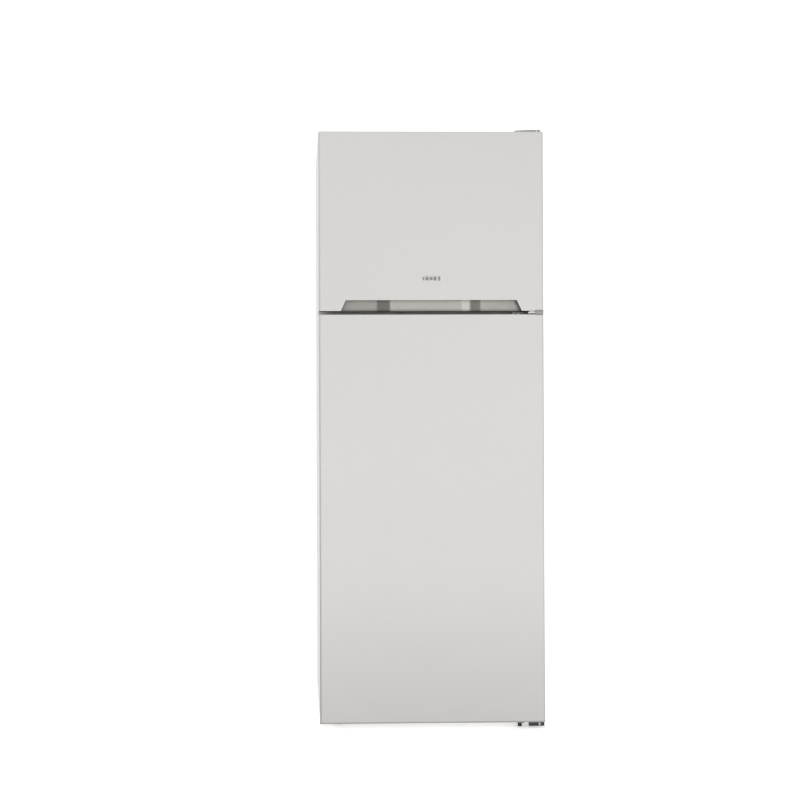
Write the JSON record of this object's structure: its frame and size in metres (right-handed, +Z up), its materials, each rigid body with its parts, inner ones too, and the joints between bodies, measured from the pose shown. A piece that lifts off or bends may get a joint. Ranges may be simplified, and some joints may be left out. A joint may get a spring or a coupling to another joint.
{
  "type": "top freezer refrigerator",
  "caption": "Free-standing white refrigerator with a freezer compartment above the fresh-food compartment, right-hung doors and a recessed silver grip between them.",
  "frame": {"origin": "on the floor under the centre of the overall box", "axes": "+Z up, -Y out of the front of the doors, +X to the right seen from the front"},
  "size_m": [0.7, 0.6828, 1.865],
  "materials": {
    "white_steel": "satin",
    "galvanised": "satin",
    "black_steel": "satin",
    "foam": "matte",
    "liner_white": "satin",
    "cap_plastic": "satin",
    "hinge_grey": "satin",
    "hinge_steel": "satin",
    "silver": "satin",
    "gasket": "matte",
    "clear_plastic": "gloss",
    "shelf_glass": "gloss",
    "aluminium": "satin",
    "rubber": "matte"
  },
  "bodies": {
    "cabinet": {"air_duct_cover": "liner_white", "back_panel": "galvanised", "base_panel": "galvanised", "bottom_hinge": "black_steel", "cabinet_foam": "foam", "compressor": "black_steel", "compressor_plate": "galvanised", "condenser_coil": "black_steel", "crisper_cover": "shelf_glass", "divider_rail": "white_steel", "evaporator": "aluminium", "evaporator_cover": "liner_white", "freezer_liner": "liner_white", "freezer_shelf": "shelf_glass", "fridge_liner": "liner_white", "ice_maker_frame": "liner_white", "lamp_housing": "liner_white", "lamp_lens": "clear_plastic", "middle_hinge": "hinge_steel", "shelf_lower": "shelf_glass", "shelf_middle": "shelf_glass", "shelf_upper": "shelf_glass", "side_panel_left": "white_steel", "side_panel_right": "white_steel", "top_hinge_bracket": "galvanised", "top_hinge_cover": "hinge_grey", "top_panel": "white_steel"},
    "freezer_door": {"freezer_door_skin": "white_steel", "freezer_door_foam": "foam", "freezer_door_top_cap": "cap_plastic", "freezer_door_bottom_cap": "cap_plastic", "freezer_door_liner": "liner_white", "freezer_door_gasket": "gasket", "handle_insert": "silver", "badge": "silver", "freezer_bin_lower": "clear_plastic", "freezer_bin_upper": "clear_plastic"},
    "fridge_door": {"fridge_door_skin": "white_steel", "fridge_door_foam": "foam", "fridge_door_top_cap": "cap_plastic", "fridge_door_bottom_cap": "cap_plastic", "fridge_door_liner": "liner_white", "fridge_door_gasket": "gasket", "dairy_bin": "clear_plastic", "fridge_bin_upper": "clear_plastic", "fridge_bin_lower": "clear_plastic", "bottle_bin": "clear_plastic"},
    "dairy_flap": {"dairy_flap": "clear_plastic"},
    "crisper_drawer": {"crisper_drawer": "clear_plastic"},
    "chiller_drawer": {"chiller_drawer": "clear_plastic"},
    "ice_box": {"ice_box": "clear_plastic"},
    "humidity_slider": {"humidity_slider": "cap_plastic"},
    "thermostat_knob": {"thermostat_knob": "cap_plastic"},
    "ice_tray_left": {"ice_tray_left": "clear_plastic"},
    "ice_tray_right": {"ice_tray_right": "clear_plastic"},
    "fan_blade": {"fan_blade": "cap_plastic"},
    "roller_left": {"roller_left": "cap_plastic"},
    "roller_right": {"roller_right": "cap_plastic"},
    "front_foot_left": {"front_foot_left": "rubber"},
    "front_foot_right": {"front_foot_right": "rubber"}
  },
  "joints": [
    {"name": "freezer_door_hinge", "type": "hinge", "parent": "cabinet", "child": "freezer_door", "pos_m": [0.327, -0.308, 1.2985], "axis": [0, 0, 1], "range_deg": [0, 125]},
    {"name": "fridge_door_hinge", "type": "hinge", "parent": "cabinet", "child": "fridge_door", "pos_m": [0.327, -0.308, 0.02], "axis": [0, 0, 1], "range_deg": [0, 125]},
    {"name": "dairy_flap_hinge", "type": "hinge", "parent": "fridge_door", "child": "dairy_flap", "pos_m": [0, -0.271, 1.104], "axis": [1, 0, 0], "range_deg": [0, 80]},
    {"name": "crisper_slide", "type": "slide", "parent": "cabinet", "child": "crisper_drawer", "axis": [0, -1, 0], "range_m": [0, 0.05]},
    {"name": "chiller_slide", "type": "slide", "parent": "cabinet", "child": "chiller_drawer", "axis": [0, -1, 0], "range_m": [0, 0.05]},
    {"name": "ice_box_slide", "type": "slide", "parent": "cabinet", "child": "ice_box", "axis": [0, -1, 0], "range_m": [0, 0.05]},
    {"name": "humidity_slide", "type": "slide", "parent": "cabinet", "child": "humidity_slider", "axis": [1, 0, 0], "range_m": [0, 0.054]},
    {"name": "thermostat_turn", "type": "hinge", "parent": "cabinet", "child": "thermostat_knob", "pos_m": [0, -0.1, 1.2405], "axis": [0, 1, 0], "range_deg": [-140, 140]},
    {"name": "ice_tray_left_twist", "type": "hinge", "parent": "cabinet", "child": "ice_tray_left", "pos_m": [-0.231, -0.12, 1.478], "axis": [0, 1, 0], "range_deg": [0, 130], "stiffness_Nm_per_rad": 0.25},
    {"name": "ice_tray_right_twist", "type": "hinge", "parent": "cabinet", "child": "ice_tray_right", "pos_m": [-0.113, -0.12, 1.478], "axis": [0, 1, 0], "range_deg": [0, 130], "stiffness_Nm_per_rad": 0.25},
    {"name": "fan_spin", "type": "hinge", "parent": "cabinet", "child": "fan_blade", "pos_m": [0, 0.2175, 1.69], "axis": [0, 1, 0], "continuous": true},
    {"name": "roller_left_spin", "type": "hinge", "parent": "cabinet", "child": "roller_left", "pos_m": [-0.295, 0.275, 0.017], "axis": [1, 0, 0], "continuous": true},
    {"name": "roller_right_spin", "type": "hinge", "parent": "cabinet", "child": "roller_right", "pos_m": [0.295, 0.275, 0.017], "axis": [1, 0, 0], "continuous": true},
    {"name": "front_foot_left_turn", "type": "hinge", "parent": "cabinet", "child": "front_foot_left", "pos_m": [-0.29, -0.235, 0], "axis": [0, 0, 1], "continuous": true},
    {"name": "front_foot_right_turn", "type": "hinge", "parent": "cabinet", "child": "front_foot_right", "pos_m": [0.276, -0.3, 0], "axis": [0, 0, 1], "continuous": true}
  ]
}
